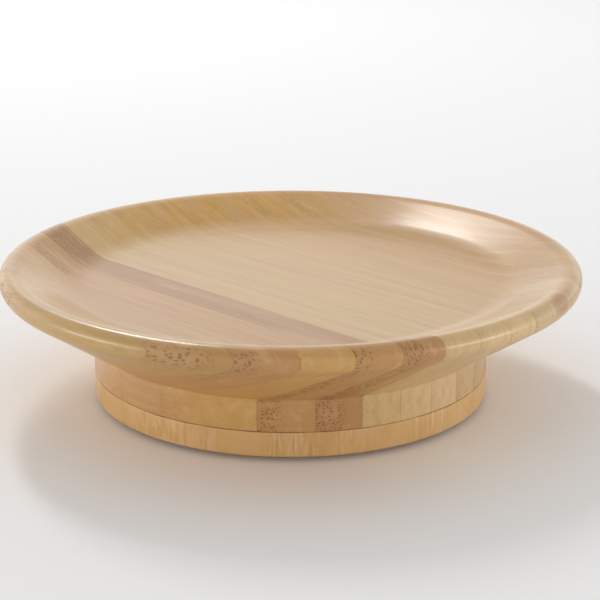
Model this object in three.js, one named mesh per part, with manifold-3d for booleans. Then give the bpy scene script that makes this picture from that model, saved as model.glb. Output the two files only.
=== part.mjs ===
// A small bamboo turntable: a turned dish with a drum under it, on a base disc, joined by a caged
// ball swivel that is hidden inside. Millimetres, +Z up, turning about Z, pads standing on z = 0.
import * as THREE from 'three';
import { mergeVertices } from 'three/addons/utils/BufferGeometryUtils.js';
import Module from 'manifold-3d';

const wasm = await Module();
wasm.setup();

// ---- Sizes that can be set by themselves ----

// The dish and its drum
const trayRadius = 50.8;
const drumRadius = 34.925;
const drumHeight = 5.5;
const trayHeight = 19.2;
const dishDepth = 4.3;
const coveWidth = 11.4;
const dishFloorOverScrews = 3.2;
const coveRound = 5;
const rimUndersideRound = 2.4;
const rimCrownWidth = 2;
const rimCrownHeight = 1.9;
const rimInnerRound = 4.8;
const drumEdgeBevel = 0.2;

// The base disc and its feet
const baseThickness = 4.1;
const baseEdgeBevel = 0.2;
const baseFloorUnderScrews = 0.8;
const padRadius = 5;
const padThickness = 0.8;
const padBevel = 0.2;
const padEdgeInset = 3.5;
const padCount = 4;

// The swivel
const ballRadius = 2;
const ballCount = 12;
const ballCircleRadius = 16;
const ballCentreRise = 0.88;
const plateThickness = 0.8;
const plateauMargin = 0.5;
const plateStepWidth = 0.8;
const plateFlangeWidth = 7.5;
const cageThickness = 1;
const cageWebWidth = 0.65;
const hubBoreRadius = 3.9;
const hubWall = 0.8;
const hubFlangeWidth = 2.3;
const hubFlangeThickness = 0.7;

// The screws and the hole that the upper ones are driven through
const screwRadius = 1.2;
const screwHeadRadius = 2.3;
const screwHeadTopRadius = 1.6;
const screwHeadHeight = 1.2;
const screwTipLength = 1.2;
const screwSlotLength = 2.8;
const screwSlotWidth = 0.5;
const screwSlotDepth = 0.6;
const screwsPerPlate = 4;
const driverClearance = 0.7;
const driverHoleBaseMargin = 0.5;

// Clearances
const seatClearance = 0.1;
const runningGap = 0.3;
const recessClearance = 0.8;
const grooveClearance = 0.12;
const grooveUnderClearance = 0.16;
const pocketClearance = 0.15;
const hubClearance = 0.1;
const screwHoleClearance = 0.25;
const pilotClearance = 0.1;
const pilotExtraDepth = 0.3;

// Facets
const traySegments = 72;
const plateSegments = 48;
const hubSegments = 32;
const padSegments = 24;
const screwSegments = 12;
const pocketSegments = 16;
const holeSegments = 24;
const ballSegments = 14;
const ballRings = 8;
const grooveSteps = 8;
const rimSteps = 4;
const coveSteps = 4;
const rimInnerSteps = 3;

// ---- The stamped plates: the back of the ball groove stays just clear of what the flange is on ----

const grooveRadius = ballRadius + grooveClearance;
const grooveBackRadius = grooveRadius + plateThickness;
const grooveBackRise = ballCentreRise + plateThickness;
const plateRise = grooveBackRadius - grooveBackRise + grooveUnderClearance;
const plateStack = plateRise + plateThickness + ballCentreRise;
const grooveBackReach = Math.sqrt(grooveBackRadius ** 2 - grooveBackRise ** 2);
const plateauRadius = ballCircleRadius + grooveBackReach + plateauMargin;
const plateStepShift = plateThickness * Math.tan(Math.atan2(plateRise, plateStepWidth) / 2);
const flangeInnerRadius = plateauRadius + plateStepWidth;
const plateRadius = flangeInnerRadius + plateFlangeWidth;
const screwCircleRadius = (flangeInnerRadius + plateStepShift + plateRadius) / 2;

// ---- Heights that follow, from the table up ----

const baseBottom = padThickness + seatClearance;
const baseTop = baseBottom + baseThickness;
const trayBottom = baseTop + runningGap;
const trayTop = trayBottom + trayHeight;
const dishFloorHeight = trayTop - dishDepth;
const lowerPlateBottom = baseTop + seatClearance;
const ballCentreHeight = lowerPlateBottom + plateStack;
const upperPlateTop = ballCentreHeight + plateStack;
const recessRoof = upperPlateTop + seatClearance;
const lowerPilotBottom = baseBottom + baseFloorUnderScrews;
const upperPilotTop = dishFloorHeight - dishFloorOverScrews;
const lowerScrewReach = lowerPlateBottom - lowerPilotBottom - pilotExtraDepth;
const upperScrewReach = upperPilotTop - upperPlateTop - pilotExtraDepth;

// ---- Radii that follow ----

const recessRadius = plateRadius + recessClearance;
const crownRadius = trayRadius - rimCrownWidth;
const hubRadius = hubBoreRadius + hubWall;
const plateBoreRadius = hubRadius + hubClearance;
const pocketRadius = ballRadius + pocketClearance;
const pilotRadius = screwRadius + pilotClearance;
const padCircleRadius = drumRadius - padEdgeInset - padRadius;
const driverHoleRadius = screwHeadRadius + driverClearance;
const driverHoleAngle = Math.PI / screwsPerPlate;

// ---- Materials ----

function finish(color, roughness, metalness) {
  return new THREE.MeshStandardMaterial({ color, roughness, metalness });
}

const trayBamboo = finish(0xcfac80, 0.38, 0);
const baseBamboo = finish(0xc79b5f, 0.45, 0);
const zincPlate = finish(0xb9bcc0, 0.35, 1);
const ballSteel = finish(0xd7d9dc, 0.12, 1);
const cageNylon = finish(0xe6e1d3, 0.5, 0);
const hubSteel = finish(0xa9acb1, 0.4, 1);
const screwSteel = finish(0xc2b88f, 0.35, 1);
const padRubber = finish(0x2b2b2c, 0.85, 0);

// ---- Helpers ----

// Points along an arc, both ends included. Angles run from +radius towards +height.
function arc(centre, size, fromAngle, toAngle, steps) {
  const points = [];
  for (let i = 0; i <= steps; i += 1) {
    const angle = fromAngle + ((toAngle - fromAngle) * i) / steps;
    points.push([
      centre[0] + size[0] * Math.cos(angle),
      centre[1] + size[1] * Math.sin(angle),
    ]);
  }
  return points;
}

// Turns an outline of [radius, height] points about Z. The outline runs outwards along its
// underside and back along its top, and it either starts and ends on the axis or closes itself.
function turned(outline, segments) {
  const onAxis = outline[0][0] === 0;
  const loop = onAxis ? outline : [...outline, outline[0]];
  const points = loop.map(([radius, height]) => new THREE.Vector2(radius, height));
  return new THREE.LatheGeometry(points, segments).rotateX(Math.PI / 2);
}

// A round bar along Z from one height to another, for holes.
function bar(radius, bottom, top, segments) {
  const geometry = new THREE.CylinderGeometry(radius, radius, top - bottom, segments);
  return geometry.rotateX(Math.PI / 2).translate(0, 0, (top + bottom) / 2);
}

function toSolid(geometry) {
  const bare = geometry.clone();
  bare.deleteAttribute('normal');
  bare.deleteAttribute('uv');
  const welded = mergeVertices(bare, 1e-4);
  const corners = welded.index.array;
  const triangles = [];
  for (let i = 0; i < corners.length; i += 3) {
    const [a, b, c] = corners.slice(i, i + 3);
    if (a !== b && b !== c && c !== a) {
      triangles.push(a, b, c);
    }
  }
  const mesh = new wasm.Mesh({
    numProp: 3,
    vertProperties: new Float32Array(welded.attributes.position.array),
    triVerts: new Uint32Array(triangles),
  });
  return new wasm.Manifold(mesh);
}

function toGeometry(solid) {
  const mesh = solid.getMesh();
  const geometry = new THREE.BufferGeometry();
  geometry.setAttribute('position', new THREE.BufferAttribute(mesh.vertProperties, 3));
  geometry.setIndex(new THREE.BufferAttribute(mesh.triVerts, 1));
  return geometry;
}

function cut(geometry, tools) {
  let solid = toSolid(geometry);
  for (const tool of tools) {
    solid = solid.subtract(toSolid(tool));
  }
  return toGeometry(solid);
}

// The same tool at equal steps around a circle.
function around(makeTool, count, circleRadius, firstAngle) {
  const tools = [];
  for (let i = 0; i < count; i += 1) {
    const angle = firstAngle + (2 * Math.PI * i) / count;
    const tool = makeTool();
    tools.push(tool.translate(circleRadius * Math.cos(angle), circleRadius * Math.sin(angle), 0));
  }
  return tools;
}

function named(name, geometry, material) {
  const mesh = new THREE.Mesh(geometry, material);
  mesh.name = name;
  return mesh;
}

// ---- The dish, the drum and the base disc ----

// The rim's underside is a straight cone from the drum, met by a round that ends upright at the
// widest height.
function rimOutside(widestHeight) {
  const run = trayRadius - rimUndersideRound - drumRadius;
  const rise = widestHeight - trayBottom - drumHeight;
  const slope = Math.atan2(rise, run) - Math.asin(rimUndersideRound / Math.hypot(run, rise));
  const roundCentre = [trayRadius - rimUndersideRound, widestHeight];
  const roundSize = [rimUndersideRound, rimUndersideRound];
  const crownCentre = [crownRadius, widestHeight];
  const crownSize = [rimCrownWidth, rimCrownHeight];
  return [
    ...arc(roundCentre, roundSize, slope - Math.PI / 2, 0, rimSteps),
    ...arc(crownCentre, crownSize, 0, Math.PI / 2, rimSteps).slice(1),
  ];
}

// Inside, a round falls from the crown to a straight wall, and a cove lands it level on the floor.
function rimInside() {
  const rounds = rimInnerRound + coveRound;
  const spread = Math.hypot(coveWidth, rounds - dishDepth);
  const slope = Math.asin(rounds / spread) - Math.atan2(rounds - dishDepth, coveWidth);
  const roundCentre = [crownRadius, trayTop - rimInnerRound];
  const roundSize = [rimInnerRound, rimInnerRound];
  const coveCentre = [crownRadius - coveWidth, dishFloorHeight + coveRound];
  const upright = Math.PI / 2;
  return [
    ...arc(roundCentre, roundSize, upright, upright + slope, rimInnerSteps).slice(1),
    ...arc(coveCentre, [coveRound, coveRound], slope - upright, -upright, coveSteps),
  ];
}

function trayGeometry() {
  const outline = [
    [0, recessRoof],
    [recessRadius, recessRoof],
    [recessRadius, trayBottom],
    [drumRadius - drumEdgeBevel, trayBottom],
    [drumRadius, trayBottom + drumEdgeBevel],
    [drumRadius, trayBottom + drumHeight],
    ...rimOutside(trayTop - rimCrownHeight),
    ...rimInside(),
    [0, dishFloorHeight],
  ];
  const pilot = () => bar(pilotRadius, recessRoof - 1, upperPilotTop, screwSegments);
  return cut(
    turned(outline, traySegments),
    around(pilot, screwsPerPlate, screwCircleRadius, driverHoleAngle),
  );
}

function baseDiscGeometry() {
  const outline = [
    [0, baseBottom],
    [drumRadius - baseEdgeBevel, baseBottom],
    [drumRadius, baseBottom + baseEdgeBevel],
    [drumRadius, baseTop - baseEdgeBevel],
    [drumRadius - baseEdgeBevel, baseTop],
    [0, baseTop],
  ];
  const pilot = () => bar(pilotRadius, lowerPilotBottom, baseTop + 1, screwSegments);
  const driverRadius = driverHoleRadius + driverHoleBaseMargin;
  const driverHole = () => bar(driverRadius, baseBottom - 1, baseTop + 1, holeSegments);
  return cut(turned(outline, traySegments), [
    ...around(pilot, screwsPerPlate, screwCircleRadius, 0),
    ...around(driverHole, 1, screwCircleRadius, driverHoleAngle),
  ]);
}

function padGeometry() {
  const outline = [
    [0, 0],
    [padRadius - padBevel, 0],
    [padRadius, padBevel],
    [padRadius, padThickness],
    [0, padThickness],
  ];
  return turned(outline, padSegments);
}

// ---- The swivel ----

// One stamped plate seen from its flange: the flange lies on height 0, a step rises to the raised
// middle, and a round groove in the raised middle holds the balls.
function plateOutline() {
  const top = plateRise + plateThickness;
  const tilt = Math.asin(ballCentreRise / grooveRadius);
  const backTilt = Math.asin(grooveBackRise / grooveBackRadius);
  const centre = [ballCircleRadius, plateStack];
  const groove = [grooveRadius, grooveRadius];
  const grooveBack = [grooveBackRadius, grooveBackRadius];
  const left = Math.PI;
  const right = 2 * Math.PI;
  return [
    [plateBoreRadius, plateRise],
    ...arc(centre, grooveBack, left + backTilt, right - backTilt, grooveSteps),
    [plateauRadius, plateRise],
    [flangeInnerRadius, 0],
    [plateRadius, 0],
    [plateRadius, plateThickness],
    [flangeInnerRadius + plateStepShift, plateThickness],
    [plateauRadius + plateStepShift, top],
    ...arc(centre, groove, right - tilt, left + tilt, grooveSteps),
    [plateBoreRadius, top],
  ];
}

function plateGeometry(withDriverHole) {
  const holeRadius = screwRadius + screwHoleClearance;
  const hole = (radius) => bar(radius, -1, plateThickness + 1, holeSegments);
  const holes = around(() => hole(holeRadius), screwsPerPlate, screwCircleRadius, 0);
  if (withDriverHole) {
    holes.push(...around(() => hole(driverHoleRadius), 1, screwCircleRadius, driverHoleAngle));
  }
  return cut(turned(plateOutline(), plateSegments), holes);
}

function cageGeometry() {
  const halfWidth = pocketRadius + cageWebWidth;
  const halfThickness = cageThickness / 2;
  const outline = [
    [ballCircleRadius - halfWidth, -halfThickness],
    [ballCircleRadius + halfWidth, -halfThickness],
    [ballCircleRadius + halfWidth, halfThickness],
    [ballCircleRadius - halfWidth, halfThickness],
  ];
  const pocket = () => bar(pocketRadius, -cageThickness, cageThickness, pocketSegments);
  return cut(
    turned(outline, plateSegments),
    around(pocket, ballCount, ballCircleRadius, 0),
  );
}

// A flanged tube: its lower flange grips the lower plate and its upper one holds the upper plate
// down without touching it.
function hubGeometry() {
  const halfLength = ballCentreRise + plateThickness + hubClearance + hubFlangeThickness;
  const flangeRadius = hubRadius + hubFlangeWidth;
  const innerHeight = halfLength - hubFlangeThickness;
  const outline = [
    [hubBoreRadius, -halfLength],
    [flangeRadius, -halfLength],
    [flangeRadius, -innerHeight],
    [hubRadius, -innerHeight],
    [hubRadius, innerHeight],
    [flangeRadius, innerHeight],
    [flangeRadius, halfLength],
    [hubBoreRadius, halfLength],
  ];
  return turned(outline, hubSegments);
}

// ---- The screws ----

// A pan-head screw with its head above height 0, its point down and a crossed slot in the head.
function screwGeometry(reachBelowHead) {
  const outline = [
    [0, -reachBelowHead],
    [screwRadius, screwTipLength - reachBelowHead],
    [screwRadius, 0],
    [screwHeadRadius, 0],
    [screwHeadRadius, screwHeadHeight / 2],
    [screwHeadTopRadius, screwHeadHeight],
    [0, screwHeadHeight],
  ];
  const slots = [0, Math.PI / 2].map((angle) =>
    new THREE.BoxGeometry(screwSlotLength, screwSlotWidth, 2 * screwSlotDepth)
      .translate(0, 0, screwHeadHeight)
      .rotateZ(angle),
  );
  return cut(turned(outline, screwSegments), slots);
}

// ---- Putting it together ----

function addAround(parent, baseName, makeMesh, count, circleRadius, firstAngle) {
  for (let i = 0; i < count; i += 1) {
    const spoke = new THREE.Group();
    spoke.rotation.z = firstAngle + (2 * Math.PI * i) / count;
    const mesh = makeMesh(`${baseName}_${i + 1}`);
    mesh.position.x = circleRadius;
    spoke.add(mesh);
    parent.add(spoke);
  }
}

function makeBase() {
  const base = new THREE.Group();
  base.add(named('base_disc', baseDiscGeometry(), baseBamboo));

  const pad = (name) => named(name, padGeometry(), padRubber);
  addAround(base, 'rubber_pad', pad, padCount, padCircleRadius, 0);

  const lowerPlate = named('lower_race_plate', plateGeometry(true), zincPlate);
  lowerPlate.position.z = lowerPlateBottom;
  base.add(lowerPlate);

  const hub = named('hub_rivet', hubGeometry(), hubSteel);
  hub.position.z = ballCentreHeight;
  base.add(hub);

  const screws = new THREE.Group();
  screws.position.z = lowerPlateBottom + plateThickness + seatClearance;
  const reach = lowerScrewReach + plateThickness;
  const screw = (name) => named(name, screwGeometry(reach), screwSteel);
  addAround(screws, 'lower_screw', screw, screwsPerPlate, screwCircleRadius, 0);
  base.add(screws);
  return base;
}

function makeBallSet() {
  const ballSet = new THREE.Group();
  ballSet.position.z = ballCentreHeight;
  ballSet.add(named('ball_cage', cageGeometry(), cageNylon));

  const ball = (name) => {
    const sphere = new THREE.SphereGeometry(ballRadius, ballSegments, ballRings);
    return named(name, sphere, ballSteel);
  };
  addAround(ballSet, 'ball', ball, ballCount, ballCircleRadius, 0);
  return ballSet;
}

// The upper plate and its screws are the lower ones turned over.
function makeTurntable() {
  const turntable = new THREE.Group();
  turntable.add(named('tray', trayGeometry(), trayBamboo));

  const turnedOver = new THREE.Group();
  turnedOver.position.z = upperPlateTop;
  turnedOver.rotation.x = Math.PI;
  const upperPlate = named('upper_race_plate', plateGeometry(false), zincPlate);
  upperPlate.rotation.z = driverHoleAngle;
  turnedOver.add(upperPlate);

  const screws = new THREE.Group();
  screws.position.z = plateThickness + seatClearance;
  const reach = upperScrewReach + plateThickness;
  const screw = (name) => named(name, screwGeometry(reach), screwSteel);
  addAround(screws, 'upper_screw', screw, screwsPerPlate, screwCircleRadius, driverHoleAngle);
  turnedOver.add(screws);
  turntable.add(turnedOver);
  return turntable;
}

const group = new THREE.Group();
group.add(makeBase());
group.add(makeBallSet());
group.add(makeTurntable());

export default group;
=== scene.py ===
"""The looks of a small bamboo turntable: a turned dish and drum on a base disc, with its swivel."""

import math

import bmesh
import bpy
from mathutils import Matrix, Vector


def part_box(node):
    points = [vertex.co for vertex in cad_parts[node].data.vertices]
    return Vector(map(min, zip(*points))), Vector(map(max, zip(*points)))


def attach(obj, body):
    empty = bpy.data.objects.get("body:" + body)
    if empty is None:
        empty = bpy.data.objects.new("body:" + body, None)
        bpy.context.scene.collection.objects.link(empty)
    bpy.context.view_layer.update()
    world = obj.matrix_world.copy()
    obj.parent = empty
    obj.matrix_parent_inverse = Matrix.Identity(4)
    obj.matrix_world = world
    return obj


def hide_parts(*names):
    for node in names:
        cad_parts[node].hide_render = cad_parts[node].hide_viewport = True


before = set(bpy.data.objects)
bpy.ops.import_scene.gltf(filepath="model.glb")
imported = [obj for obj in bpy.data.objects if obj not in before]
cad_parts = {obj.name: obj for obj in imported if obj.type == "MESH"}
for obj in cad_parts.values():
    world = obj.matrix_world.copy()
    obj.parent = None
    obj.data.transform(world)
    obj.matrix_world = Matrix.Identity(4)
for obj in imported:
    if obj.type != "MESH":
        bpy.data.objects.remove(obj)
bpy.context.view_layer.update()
MM = 0.001

# ---------------------------------------------------------------- sizes, in metres

TRAY_LOW, TRAY_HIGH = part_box("tray")
BASE_LOW, BASE_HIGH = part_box("base_disc")
PLATE_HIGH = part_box("upper_race_plate")[1]
SCREWS = 4
BALLS = 12
PADS = 4

TRAY_RADIUS = TRAY_HIGH.x
DRUM_RADIUS = BASE_HIGH.x
DRUM_HEIGHT = 5.5 * MM
DRUM_TOP = TRAY_LOW.z + DRUM_HEIGHT
DRUM_CORNER_ROUND = 0.5 * MM
CROWN_WIDTH = 2 * MM
CROWN_HEIGHT = 1.9 * MM
CROWN_RADIUS = TRAY_RADIUS - CROWN_WIDTH
RIM_WIDEST = TRAY_HIGH.z - CROWN_HEIGHT
RIM_UNDER_ROUND = 2.4 * MM
RIM_INNER_ROUND = 4.8 * MM
DISH_DEPTH = 4.3 * MM
DISH_FLOOR = TRAY_HIGH.z - DISH_DEPTH
COVE_WIDTH = 13.4 * MM
COVE_ROUND = 13 * MM

# The recess in the tray clears the upper race plate by these gaps
RECESS_ROOF = PLATE_HIGH.z + 0.1 * MM
RECESS_RADIUS = PLATE_HIGH.x + 0.8 * MM
SCREW_HOLE_RADIUS = 1.3 * MM
SCREW_END_GAP = 0.3 * MM
DRIVER_HOLE_RADIUS = 3.5 * MM
DRILL_OVERRUN = 1 * MM
HOLE_TURN = math.radians(1.7)

# The base disc's top is raised outside the recess, so that the gap under the drum is a thin line
LAND_RADIUS = RECESS_RADIUS + 1.5 * MM
LAND_SLOPE_WIDTH = 1 * MM
LAND_HEIGHT = 0.2 * MM
LAND_WOBBLE = 0.06 * MM
LAND_WAVES = ((5, 1), (13, 2), (37, 0))
SEAM_ROUND = 0.08 * MM
FOOT_ROUND = 0.4 * MM
PAD_ROUND = 0.25 * MM

TURNED_STEPS = 288
BALL_STEPS = 48
PAD_STEPS = 64
HOLE_STEPS = 48

# ---------------------------------------------------------------- grain, in millimetres

# The laminate: strips of one width, glued edge to edge, running across the front at an angle
STRIP_WIDTH = 6.55
STRIP_FIRST_LINE = -8.35
STRIP_ANGLE = math.radians(44.5)
DISC_GRAIN_ANGLE = math.radians(28)
BLEMISH_PLACE = (44.2, -24.4, 24.0)

# ---------------------------------------------------------------- studio and camera

# Brightness of the white studio: behind the object, on the camera's side, and how it changes
# from the floor up to overhead
SKY_BACK = 1.14
SKY_FRONT = 0.66
SKY_LOW = 1.35
SKY_HIGH = 0.55
LAMP_DISTANCE = 0.9

CAMERA_DISTANCE = 0.3
CAMERA_ELEVATION = 0.3159
CAMERA_AIM = (0, 0, 12.9 * MM)
CAMERA_SENSOR = 36
CAMERA_LENS = 101.02
CAMERA_SHIFT = (0.0157, 0.0323)


# ---------------------------------------------------------------- shader expressions


class Wire:
    """One socket's value in a material, so that shader maths reads as a plain expression."""

    def __init__(self, finish, socket):
        self.finish = finish
        self.socket = socket

    def maths(self, operation, *values):
        return self.finish.node("ShaderNodeMath", {"operation": operation}, values)

    def __add__(self, other):
        return self.maths("ADD", self, other)

    __radd__ = __add__

    def __mul__(self, other):
        return self.maths("MULTIPLY", self, other)

    __rmul__ = __mul__

    def __sub__(self, other):
        return self.maths("SUBTRACT", self, other)

    def __rsub__(self, other):
        return self.maths("SUBTRACT", other, self)

    def __truediv__(self, other):
        return self.maths("DIVIDE", self, other)

    def __rtruediv__(self, other):
        return self.maths("DIVIDE", other, self)

    def floor(self):
        return self.maths("FLOOR", self)

    def size(self):
        return self.maths("ABSOLUTE", self)

    def above(self, low, high):
        """0 below low and 1 above high, with a soft step between (falling if low > high)."""
        settings = {"interpolation_type": "SMOOTHSTEP"}
        return self.finish.node("ShaderNodeMapRange", settings, (self, low, high))


class Finish:
    """A material built from node() calls and expressions on its wires."""

    def __init__(self, name):
        self.material = bpy.data.materials.new(name)
        self.material.use_nodes = True
        self.tree = self.material.node_tree
        self.tree.nodes.clear()
        self.shader = self.tree.nodes.new("ShaderNodeBsdfPrincipled")
        output = self.tree.nodes.new("ShaderNodeOutputMaterial")
        self.tree.links.new(self.shader.outputs[0], output.inputs[0])

    def node(self, kind, settings=None, inputs=(), output=0):
        """Adds a node: its settings first, then a value or a wire for each input."""
        made = self.tree.nodes.new(kind)
        for name, value in (settings or {}).items():
            if name == "stops":
                self.set_stops(made.color_ramp, value)
            elif name == "ramp_interpolation":
                made.color_ramp.interpolation = value
            else:
                setattr(made, name, value)
        pairs = inputs.items() if isinstance(inputs, dict) else enumerate(inputs)
        for key, value in pairs:
            self.feed(made.inputs[key], value)
        return Wire(self, made.outputs[output])

    def feed(self, target, value):
        if isinstance(value, Wire):
            self.tree.links.new(value.socket, target)
        else:
            target.default_value = value

    def set_stops(self, ramp, stops):
        while len(ramp.elements) < len(stops):
            ramp.elements.new(0.5)
        for element, (place, colour) in zip(ramp.elements, stops):
            element.position = place
            element.color = colour

    def place(self):
        """The point on the piece, in millimetres, as three wires."""
        point = self.node("ShaderNodeTexCoord", output="Object")
        return [self.node("ShaderNodeSeparateXYZ", None, (point,), axis) / MM for axis in "XYZ"]

    def facing(self):
        """The piece's own surface direction, as three wires."""
        normal = self.node("ShaderNodeTexCoord", output="Normal")
        return [self.node("ShaderNodeSeparateXYZ", None, (normal,), axis) for axis in "XYZ"]

    def point(self, x, y, z):
        return self.node("ShaderNodeCombineXYZ", None, (x, y, z))

    def noise(self, vector, detail, roughness=0.5):
        inputs = {"Vector": vector, "Scale": 1.0, "Detail": detail, "Roughness": roughness}
        return self.node("ShaderNodeTexNoise", None, inputs, "Fac")

    def cells(self, vector, scale):
        """How far the point is from the middle of the nearest cell, in X and Y only."""
        inputs = {"Vector": vector, "Scale": scale, "Randomness": 1.0}
        return self.node("ShaderNodeTexVoronoi", {"voronoi_dimensions": "2D"}, inputs, "Distance")

    def ramp(self, value, stops, interpolation="LINEAR"):
        settings = {"stops": stops, "ramp_interpolation": interpolation}
        return self.node("ShaderNodeValToRGB", settings, (value,), "Color")

    def mix(self, amount, first, second):
        """A colour mix: sockets 0, 6 and 7 are its factor and its two colours, and output 2 the
        result."""
        inputs = {0: amount, 6: first, 7: second}
        return self.node("ShaderNodeMix", {"data_type": "RGBA"}, inputs, 2)

    def bump(self, height, strength, distance):
        inputs = {"Strength": strength, "Distance": distance, "Height": height}
        return self.node("ShaderNodeBump", None, inputs, "Normal")

    def set(self, **sockets):
        for name, value in sockets.items():
            self.feed(self.shader.inputs[name.replace("_", " ")], value)
        return self.material


def shade(red, green, blue):
    """A screen colour, 0 to 255, as the linear colour that shaders take."""

    def linear(level):
        level /= 255
        return level / 12.92 if level <= 0.04045 else ((level + 0.055) / 1.055) ** 2.4

    return (linear(red), linear(green), linear(blue), 1)


# ---------------------------------------------------------------- bamboo


# One strip a row, from the left: its tone along the fibre, its tone on the end grain at the front
# and at the back, and how dark and how wide its crowded band of fibre bundles is.
STRIPS = [
    (shade(187, 152, 90), shade(187, 150, 88), shade(196, 158, 100), 0.5, 0.5),
    (shade(196, 157, 94), shade(184, 140, 79), shade(198, 162, 104), 0.9, 0.65),
    (shade(192, 146, 89), shade(189, 139, 83), shade(200, 164, 106), 0.8, 0.35),
    (shade(196, 149, 89), shade(204, 158, 88), shade(194, 157, 98), 0.3, 0.15),
    (shade(196, 145, 85), shade(193, 144, 85), shade(178, 132, 74), 0.9, 0.35),
    (shade(174, 121, 58), shade(183, 134, 80), shade(162, 116, 60), 0.9, 0.55),
    (shade(209, 172, 113), shade(210, 177, 122), shade(203, 167, 102), 0.25, 0.2),
    (shade(209, 171, 113), shade(212, 182, 131), shade(205, 166, 96), 0.2, 0.15),
    (shade(209, 170, 110), shade(214, 183, 134), shade(203, 159, 80), 0.15, 0.2),
    (shade(208, 168, 108), shade(200, 169, 120), shade(205, 157, 68), 0.2, 0.2),
    (shade(208, 165, 104), shade(191, 159, 109), shade(207, 158, 62), 0.25, 0.2),
    (shade(207, 161, 98), shade(188, 152, 97), shade(207, 157, 58), 0.3, 0.3),
    (shade(203, 152, 80), shade(176, 138, 76), shade(207, 157, 58), 0.3, 0.3),
    (shade(193, 144, 66), shade(178, 136, 70), shade(206, 156, 64), 0.3, 0.4),
    (shade(188, 140, 70), shade(176, 132, 68), shade(206, 162, 94), 0.4, 0.4),
    (shade(199, 152, 92), shade(188, 146, 90), shade(208, 170, 112), 0.4, 0.4),
]
FIRST_STRIP = -7


def strip_stops(column):
    """Ramp stops that give every strip its own value from one column of STRIPS."""
    stops = []
    for index, row in enumerate(STRIPS):
        value = row[column]
        colour = value if isinstance(value, tuple) else (value, value, value, 1)
        stops.append((index / len(STRIPS), colour))
    return stops


def along_fibre(x, y, angle):
    """How far a point lies along the fibre of a board laid at an angle."""
    return x * math.sin(angle) - y * math.cos(angle)


def across_fibre(x, y, angle):
    """How far a point lies across the fibre of a board laid at an angle."""
    return x * math.cos(angle) + y * math.sin(angle)


def strip_tone(finish, pick, along, end_grain):
    """The plain tone of the strip that pick chooses, by grain and by which end it is."""
    long_tone, front_end, back_end = [
        finish.ramp(pick, strip_stops(column), "CONSTANT") for column in range(3)
    ]
    end_tone = finish.mix(along.above(10.0, -20.0), front_end, back_end)
    return finish.mix(end_grain, long_tone, end_tone)


def drift_and_bands(finish, tone, along, across, z, strip):
    """Broad colour drift along each strip, pink one way and golden the other, and soft bands."""
    drift_place = finish.point(along * 0.03, across * 0.22, z * 0.1 + strip * 7.3)
    drift = finish.noise(drift_place, 3.0)
    tone = finish.mix(drift.above(0.5, 0.75) * 0.4, tone, shade(206, 160, 118))
    tone = finish.mix(drift.above(0.5, 0.25) * 0.4, tone, shade(198, 160, 96))
    band = finish.noise(finish.point(along * 0.02, across * 0.75, z * 0.4), 3.0, 0.6)
    tone = finish.mix(band.above(0.45, 0.7) * 0.32, tone, shade(184, 138, 92))
    return finish.mix(band.above(0.5, 0.25) * 0.35, tone, shade(222, 184, 140))


def fibre_bundles(finish, along, across, z, strip, inside, sway, crowd_width):
    """Dots on end grain, and how crowded they are, which falls off across each strip in patches."""
    lean = finish.noise(finish.point(along * 0.08, strip * 3.1, z * 0.6), 1.0) - 0.5
    place = finish.point(across + sway * 0.9, z * 0.95 + lean * 1.6 + sway * 0.5, 0.0)
    bundle = finish.cells(place, 1.9)
    patch = finish.noise(finish.point(across * 0.9, along * 0.15, z * 0.7), 2.0)
    crowd = inside.above(crowd_width + 0.2, crowd_width - 0.15)
    crowd = crowd * patch.above(0.15, 0.5)
    radius = 0.12 + crowd * 0.14
    return bundle.above(radius + 0.12, radius - 0.06), crowd


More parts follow.
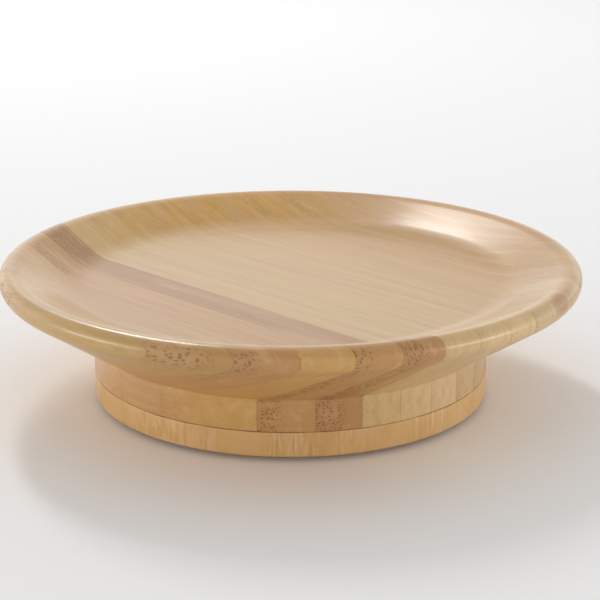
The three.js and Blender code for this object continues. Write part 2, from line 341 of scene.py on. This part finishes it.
def laminate_bamboo(name):
    """Edge-glued bamboo strips: tones by strip, fibre bundles, glue lines and a satin lacquer."""
    finish = Finish(name)
    x, y, z = finish.place()
    along = along_fibre(x, y, STRIP_ANGLE)
    across = across_fibre(x, y, STRIP_ANGLE)
    strips = (across - STRIP_FIRST_LINE) / STRIP_WIDTH
    strip = strips.floor()
    inside = strips - strip

    nx, ny, _ = finish.facing()
    end_grain = along_fibre(nx, ny, STRIP_ANGLE).size().above(0.05, 0.48)

    # A ramp holds one value for each strip, and the strip's number picks it
    pick = (strip - FIRST_STRIP + 0.5) / len(STRIPS)
    darkness = finish.ramp(pick, strip_stops(3), "CONSTANT")
    crowd_width = finish.ramp(pick, strip_stops(4), "CONSTANT")
    tone = strip_tone(finish, pick, along, end_grain)
    tone = drift_and_bands(finish, tone, along, across, z, strip)

    # Fine fibres, seen as streaks along the strip and lost on end grain
    fibre = finish.noise(finish.point(along * 0.045, across * 2.6, z * 2.6), 4.0, 0.6)
    streak = 1 - end_grain * 0.7
    tone = finish.mix(fibre.above(0.48, 0.78) * streak * 0.24, tone, shade(168, 118, 74))
    tone = finish.mix(fibre.above(0.48, 0.25) * streak * 0.25, tone, shade(222, 188, 140))

    # Fibre bundles, dark where they crowd, each crowd in a faint halo
    sway = finish.noise(finish.point(along * 0.25, across * 0.35, z * 0.35), 2.0) - 0.5
    dots, crowd = fibre_bundles(finish, along, across, z, strip, inside, sway, crowd_width)
    dots = dots * (0.07 + crowd * darkness * 0.93)
    dots = dots * (0.1 + end_grain * 0.9)
    tone = finish.mix(dots * 0.72, tone, shade(122, 76, 30))
    tone = finish.mix(crowd * darkness * end_grain * 0.2, tone, shade(152, 104, 52))

    # Glue lines, plain on the end grain at the front and hardly seen elsewhere
    glue = (inside - 0.5).size().above(0.482, 0.498)
    front = along.above(-10.0, 15.0)
    tone = finish.mix(glue * (0.08 + end_grain * front * 0.26), tone, shade(126, 84, 46))

    # One small reddish-brown blemish on the right-hand side of the rim, longer front to back
    right, back, up = x - BLEMISH_PLACE[0], y - BLEMISH_PLACE[1], z - BLEMISH_PLACE[2]
    far = (right * right + back * back * 0.5 + up * up) * 0.14 + sway * 0.8
    tone = finish.mix(far.above(0.95, 0.15) * 0.6, tone, shade(170, 108, 58))

    ripple = finish.noise(finish.point(across * 0.9, along * 0.35, z * 0.9), 3.0)
    height = ripple * 0.9 + fibre * streak * 0.25 - dots * 0.5 - glue * 0.4
    return finish.set(
        Base_Color=tone,
        Roughness=0.34 + fibre * 0.08 + dots * 0.1,
        Normal=finish.bump(height, 0.1, 0.05 * MM),
        IOR=1.5,
        Coat_Weight=0.3,
        Coat_Roughness=0.15,
    )


def disc_bamboo(name):
    """The base disc's board: golden, with fine upright saw marks on its edge."""
    finish = Finish(name)
    x, y, z = finish.place()
    along = along_fibre(x, y, DISC_GRAIN_ANGLE)
    across = across_fibre(x, y, DISC_GRAIN_ANGLE)
    drift = finish.noise(finish.point(along * 0.05, across * 0.25, z * 0.3), 3.0)
    stops = [(0.3, shade(203, 159, 96)), (0.55, shade(210, 166, 104)), (0.75, shade(207, 167, 120))]
    tone = finish.ramp(drift, stops)
    # Saw marks, crowded in some places and missing in others
    lines = finish.noise(finish.point(along * 0.1, across * 2.6, z * 0.25), 4.0, 0.65)
    crowd = finish.noise(finish.point(along * 0.02, across * 0.16, 4.0), 1.0)
    crowd = crowd.above(0.4, 0.62)
    tone = finish.mix(lines.above(0.46, 0.66) * (0.1 + crowd * 0.6), tone, shade(222, 184, 146))
    tone = finish.mix(lines.above(0.5, 0.3) * (0.15 + crowd * 0.3), tone, shade(172, 124, 76))
    return finish.set(
        Base_Color=tone,
        Roughness=0.38 + lines * 0.12,
        Normal=finish.bump(lines, 0.15, 0.06 * MM),
        IOR=1.5,
        Coat_Weight=0.2,
        Coat_Roughness=0.15,
    )


# ---------------------------------------------------------------- metal, nylon and rubber


def plated_steel(name, light, dark, roughness):
    """Plated or polished steel: faint clouds and fine marks."""
    finish = Finish(name)
    x, y, z = finish.place()
    clouds = finish.noise(finish.point(x * 0.25, y * 0.25, z * 0.25), 4.0)
    marks = finish.noise(finish.point(x * 9.0, y * 0.6, z * 4.0), 3.0)
    tone = finish.mix(clouds.above(0.3, 0.7), dark, light)
    tone = finish.mix(marks.above(0.5, 0.8) * 0.3, tone, dark)
    return finish.set(
        Base_Color=tone,
        Metallic=1.0,
        Roughness=roughness + clouds * 0.15,
        Normal=finish.bump(marks, 0.08, 0.03 * MM),
    )


def nylon(name):
    """Off-white moulded nylon with a fine matt grain."""
    finish = Finish(name)
    x, y, z = finish.place()
    grain = finish.noise(finish.point(x * 4.0, y * 4.0, z * 4.0), 3.0)
    clouds = finish.noise(finish.point(x * 0.3, y * 0.3, z * 0.3), 2.0)
    tone = finish.mix(clouds.above(0.3, 0.7), shade(226, 221, 206), shade(236, 232, 220))
    return finish.set(
        Base_Color=tone,
        Roughness=0.42 + grain * 0.15,
        Normal=finish.bump(grain, 0.1, 0.04 * MM),
    )


def pad_rubber(name):
    """Black rubber, a little dusty."""
    finish = Finish(name)
    x, y, z = finish.place()
    grain = finish.noise(finish.point(x * 5.0, y * 5.0, z * 5.0), 4.0)
    dust = finish.noise(finish.point(x * 0.6, y * 0.6, z * 0.6), 3.0)
    tone = finish.mix(dust.above(0.45, 0.75) * 0.5, shade(34, 34, 35), shade(70, 68, 66))
    return finish.set(
        Base_Color=tone,
        Roughness=0.7 + dust * 0.2,
        Normal=finish.bump(grain, 0.3, 0.08 * MM),
    )


# ---------------------------------------------------------------- meshes


def arc(centre, radius, start, end, steps, height=None):
    """Points along an arc, both ends included, in degrees from +radius towards +height. A height
    makes it a stretch of an ellipse."""
    if height is None:
        height = radius
    points = []
    for step in range(steps + 1):
        angle = math.radians(start + (end - start) * step / steps)
        points.append((centre[0] + radius * math.cos(angle), centre[1] + height * math.sin(angle)))
    return points


def turned_mesh(name, outline, segments):
    """Turns an outline of (radius, height) points, from axis to axis, into a solid about Z."""
    mesh = bmesh.new()
    rings = []
    for radius, height in outline:
        if radius == 0:
            rings.append([mesh.verts.new((0, 0, height))])
            continue
        ring = []
        for step in range(segments):
            angle = 2 * math.pi * step / segments
            x, y = radius * math.cos(angle), radius * math.sin(angle)
            ring.append(mesh.verts.new((x, y, height)))
        rings.append(ring)
    for lower, upper in zip(rings, rings[1:]):
        for step in range(segments):
            after = (step + 1) % segments
            if len(lower) == 1:
                mesh.faces.new((lower[0], upper[after], upper[step]))
            elif len(upper) == 1:
                mesh.faces.new((lower[step], lower[after], upper[0]))
            else:
                mesh.faces.new((lower[step], lower[after], upper[after], upper[step]))
    bmesh.ops.recalc_face_normals(mesh, faces=mesh.faces)
    return piece_from(mesh, name)


def piece_from(mesh, name):
    """Makes an object of a bmesh and frees the bmesh."""
    data = bpy.data.meshes.new(name)
    mesh.to_mesh(data)
    mesh.free()
    piece = bpy.data.objects.new(name, data)
    bpy.context.scene.collection.objects.link(piece)
    return piece


def smooth(piece, angle=32):
    """Shades the piece smooth, with an edge kept sharp where it is steeper than the angle."""
    data = piece.data
    data.polygons.foreach_set("use_smooth", [True] * len(data.polygons))
    data.set_sharp_from_angle(angle=math.radians(angle))
    return piece


def drill(piece, holes):
    """Cuts round holes of (x, y, radius, bottom, top) into a piece."""
    cutter_mesh = bmesh.new()
    # A small turn keeps the holes' corners off the edges of the piece
    turn = Matrix.Rotation(HOLE_TURN, 4, "Z")
    for x, y, radius, bottom, top in holes:
        middle = Matrix.Translation((x, y, (bottom + top) / 2))
        bmesh.ops.create_cone(
            cutter_mesh,
            cap_ends=True,
            segments=HOLE_STEPS,
            radius1=radius,
            radius2=radius,
            depth=top - bottom,
            matrix=middle @ turn,
        )
    cutter = piece_from(cutter_mesh, piece.name + "_cutter")
    change = piece.modifiers.new("holes", "BOOLEAN")
    change.operation = "DIFFERENCE"
    change.solver = "EXACT"
    change.object = cutter
    shaped = piece.evaluated_get(bpy.context.evaluated_depsgraph_get())
    data = bpy.data.meshes.new_from_object(shaped)
    piece.modifiers.clear()
    piece.data = data
    bpy.data.objects.remove(cutter)


def tray_outline():
    """Half of the tray's section: recess, drum, cone under the rim, rim, dish wall and floor."""
    run = TRAY_RADIUS - RIM_UNDER_ROUND - DRUM_RADIUS
    rise = RIM_WIDEST - DRUM_TOP
    cone = math.atan2(rise, run) - math.asin(RIM_UNDER_ROUND / math.hypot(run, rise))
    cone = math.degrees(cone)
    rounds = COVE_ROUND + RIM_INNER_ROUND
    wall = math.asin(rounds / math.hypot(COVE_WIDTH, rounds - DISH_DEPTH))
    wall = math.degrees(wall - math.atan2(rounds - DISH_DEPTH, COVE_WIDTH))

    foot = (DRUM_RADIUS - SEAM_ROUND, TRAY_LOW.z + SEAM_ROUND)
    corner_drop = DRUM_CORNER_ROUND * math.tan(math.radians(90 - cone) / 2)
    corner = (DRUM_RADIUS + DRUM_CORNER_ROUND, DRUM_TOP - corner_drop)
    under = (TRAY_RADIUS - RIM_UNDER_ROUND, RIM_WIDEST)
    crown = (CROWN_RADIUS, RIM_WIDEST)
    inner = (CROWN_RADIUS, TRAY_HIGH.z - RIM_INNER_ROUND)
    cove = (CROWN_RADIUS - COVE_WIDTH, DISH_FLOOR + COVE_ROUND)
    return [
        (0, RECESS_ROOF),
        (RECESS_RADIUS, RECESS_ROOF),
        (RECESS_RADIUS, TRAY_LOW.z),
        *arc(foot, SEAM_ROUND, -90, 0, 3),
        *arc(corner, DRUM_CORNER_ROUND, 180, 90 + cone, 5),
        *arc(under, RIM_UNDER_ROUND, cone - 90, 0, 14),
        *arc(crown, CROWN_WIDTH, 0, 90, 14, CROWN_HEIGHT)[1:],
        *arc(inner, RIM_INNER_ROUND, 90, 90 + wall, 12)[1:],
        *arc(cove, COVE_ROUND, wall - 90, -90, 14),
        (CROWN_RADIUS * 0.4, DISH_FLOOR),
        (0, DISH_FLOOR),
    ]


def disc_outline():
    """Half of the base disc's section, still flat on top."""
    low, high = BASE_LOW.z, BASE_HIGH.z
    return [
        (0, low),
        *arc((DRUM_RADIUS - FOOT_ROUND, low + FOOT_ROUND), FOOT_ROUND, -90, 0, 4),
        *arc((DRUM_RADIUS - SEAM_ROUND, high - SEAM_ROUND), SEAM_ROUND, 0, 90, 3),
        (LAND_RADIUS, high),
        (LAND_RADIUS - LAND_SLOPE_WIDTH, high),
        (0, high),
    ]


def pad_outline(low, high, radius):
    """Half of a pad's section, with a larger round at the foot than under the base."""
    shoulder_round = PAD_ROUND / 2
    return [
        (0, low),
        *arc((radius - PAD_ROUND, low + PAD_ROUND), PAD_ROUND, -90, 0, 5),
        *arc((radius - shoulder_round, high - shoulder_round), shoulder_round, 0, 90, 3),
        (0, high),
    ]


def centre_of(node):
    low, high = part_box(node)
    return (low + high) / 2


def hole_at(node, radius, bottom, top):
    """A hole for drill() on the upright line through the middle of a CAD node."""
    middle = centre_of(node)
    return (middle.x, middle.y, radius, bottom, top)


def stand_on(piece, node):
    """Moves a turned piece's mesh so that its axis stands over the middle of a CAD node."""
    middle = centre_of(node)
    for vertex in piece.data.vertices:
        vertex.co.x += middle.x
        vertex.co.y += middle.y
    return piece


def finish_with(piece, material):
    piece.data.materials.clear()
    piece.data.materials.append(material)
    return piece


# ---------------------------------------------------------------- the pieces


def make_tray():
    """The dish, its rim and the drum, turned in one block that is hollow over the upper race."""
    tray = turned_mesh("turned_tray", tray_outline(), TURNED_STEPS)
    holes = []
    for number in range(1, SCREWS + 1):
        screw = f"upper_screw_{number}"
        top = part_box(screw)[1].z + SCREW_END_GAP
        holes.append(hole_at(screw, SCREW_HOLE_RADIUS, RECESS_ROOF - DRILL_OVERRUN, top))
    drill(tray, holes)
    finish_with(smooth(tray), laminate_bamboo("laminated_bamboo"))
    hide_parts("tray")
    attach(tray, "turntable")


def raise_land(disc):
    """Lifts the top's outer margin a little and unevenly, so the gap above it is a broken line."""
    for vertex in disc.data.vertices:
        x, y, z = vertex.co
        if z > BASE_HIGH.z - SEAM_ROUND * 1.01 and math.hypot(x, y) > LAND_RADIUS - 0.1 * MM:
            turn = math.atan2(y, x)
            wave = sum(math.sin(count * turn + shift) for count, shift in LAND_WAVES)
            vertex.co.z += LAND_HEIGHT + LAND_WOBBLE * wave / len(LAND_WAVES)


def make_base_disc():
    """The disc under the drum, with its screw holes and the hole a screwdriver reaches through."""
    disc = turned_mesh("base_board", disc_outline(), TURNED_STEPS)
    above = BASE_HIGH.z + DRILL_OVERRUN
    holes = []
    for number in range(1, SCREWS + 1):
        screw = f"lower_screw_{number}"
        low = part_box(screw)[0].z - SCREW_END_GAP
        holes.append(hole_at(screw, SCREW_HOLE_RADIUS, low, above))
    below = BASE_LOW.z - DRILL_OVERRUN
    holes.append(hole_at("upper_screw_4", DRIVER_HOLE_RADIUS, below, above))
    drill(disc, holes)
    raise_land(disc)
    finish_with(smooth(disc), disc_bamboo("base_bamboo"))
    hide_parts("base_disc")
    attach(disc, "base")


def make_balls():
    """The bearing balls, each of which rolls on a body of its own."""
    polished = plated_steel("polished_balls", shade(226, 228, 232), shade(200, 203, 208), 0.06)
    for number in range(1, BALLS + 1):
        node = f"ball_{number}"
        low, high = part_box(node)
        radius = (high.z - low.z) / 2
        bulge = arc((0, low.z + radius), radius, -90, 90, BALL_STEPS // 2)[1:-1]
        outline = [(0, low.z), *bulge, (0, high.z)]
        ball = stand_on(turned_mesh(f"bearing_ball_{number}", outline, BALL_STEPS), node)
        finish_with(smooth(ball, 60), polished)
        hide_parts(node)
        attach(ball, node)


def make_pads():
    """Four moulded rubber pads with rounded rims, stuck under the base."""
    rubber = pad_rubber("pad_rubber")
    for number in range(1, PADS + 1):
        node = f"rubber_pad_{number}"
        low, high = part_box(node)
        outline = pad_outline(low.z, high.z, (high.x - low.x) / 2)
        pad = stand_on(turned_mesh(f"foot_pad_{number}", outline, PAD_STEPS), node)
        finish_with(smooth(pad), rubber)
        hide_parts(node)
        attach(pad, "base")


def finish_swivel():
    """The races, rivet, cage and screws keep their CAD shapes and get their finishes by name."""
    finishes = {
        "race_plate": plated_steel("zinc_plate", shade(196, 200, 206), shade(150, 154, 160), 0.26),
        "hub_rivet": plated_steel("rivet_steel", shade(180, 183, 188), shade(140, 143, 150), 0.34),
        "screw": plated_steel("yellow_zinc", shade(206, 190, 138), shade(168, 150, 104), 0.28),
        "ball_cage": nylon("cage_nylon"),
    }
    for name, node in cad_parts.items():
        for part, finish in finishes.items():
            if part in name:
                finish_with(node, finish)


# ---------------------------------------------------------------- floor, light and camera


def make_floor():
    """A plain pale table top, level with the feet."""
    mesh = bmesh.new()
    bmesh.ops.create_grid(mesh, x_segments=1, y_segments=1, size=3)
    floor = piece_from(mesh, "floor")
    finish = Finish("pale_floor")
    finish_with(floor, finish.set(Base_Color=(0.97, 0.97, 0.97, 1), Roughness=0.85))


def make_sky():
    """A white studio all round, dimmer on the camera's side, where no light stands."""
    world = bpy.data.worlds.new("studio")
    bpy.context.scene.world = world
    world.use_nodes = True
    nodes = world.node_tree.nodes
    links = world.node_tree.links
    direction = nodes.new("ShaderNodeTexCoord")
    parts = nodes.new("ShaderNodeSeparateXYZ")
    links.new(direction.outputs["Generated"], parts.inputs[0])
    # The two ranges multiply: one runs front to back, the other from the floor upwards
    product = nodes.new("ShaderNodeMath")
    product.operation = "MULTIPLY"
    ranges = [("Y", -1.0, 0.1, SKY_FRONT, SKY_BACK), ("Z", 0.05, 0.6, SKY_LOW, SKY_HIGH)]
    for slot, (axis, *limits) in enumerate(ranges):
        step = nodes.new("ShaderNodeMapRange")
        step.interpolation_type = "SMOOTHSTEP"
        links.new(parts.outputs[axis], step.inputs["Value"])
        for name, value in zip(("From Min", "From Max", "To Min", "To Max"), limits):
            step.inputs[name].default_value = value
        links.new(step.outputs[0], product.inputs[slot])
    links.new(product.outputs[0], nodes["Background"].inputs["Strength"])
    nodes["Background"].inputs["Color"].default_value = (1, 1, 1, 1)


def add_softbox(name, direction, width, height, power):
    """A rectangular lamp in a direction from the object, facing it."""
    data = bpy.data.lights.new(name, "AREA")
    data.shape = "RECTANGLE"
    data.size = width
    data.size_y = height
    data.energy = power
    lamp = bpy.data.objects.new(name, data)
    bpy.context.scene.collection.objects.link(lamp)
    towards = Vector(direction).normalized()
    lamp.location = towards * LAMP_DISTANCE
    lamp.rotation_euler = towards.to_track_quat("Z", "Y").to_euler()


def make_lights():
    """A narrow key lamp behind, which the dish wall mirrors, and low lamps at the sides."""
    make_sky()
    add_softbox("key_softbox", (-0.22, 0.685, 0.695), 0.08, 0.3, 2.0)
    add_softbox("left_softbox", (-0.95, -0.3, 0.08), 0.5, 0.14, 1.7)
    add_softbox("right_softbox", (0.95, -0.3, 0.08), 0.5, 0.14, 1.5)


def make_camera():
    """In front of the object and 18.1 degrees above it."""
    back = Vector((0, -math.cos(CAMERA_ELEVATION), math.sin(CAMERA_ELEVATION)))
    data = bpy.data.cameras.new("camera")
    data.sensor_width = CAMERA_SENSOR
    data.lens = CAMERA_LENS
    data.shift_x, data.shift_y = CAMERA_SHIFT
    data.clip_start = 0.01
    data.clip_end = 20
    camera = bpy.data.objects.new("camera", data)
    camera.location = Vector(CAMERA_AIM) + back * CAMERA_DISTANCE
    camera.rotation_euler = back.to_track_quat("Z", "Y").to_euler()
    bpy.context.scene.collection.objects.link(camera)
    bpy.context.scene.camera = camera


make_camera()
make_lights()
make_floor()
make_tray()
make_base_disc()
make_balls()
make_pads()
finish_swivel()

scene = bpy.context.scene
scene.view_settings.view_transform = "Standard"
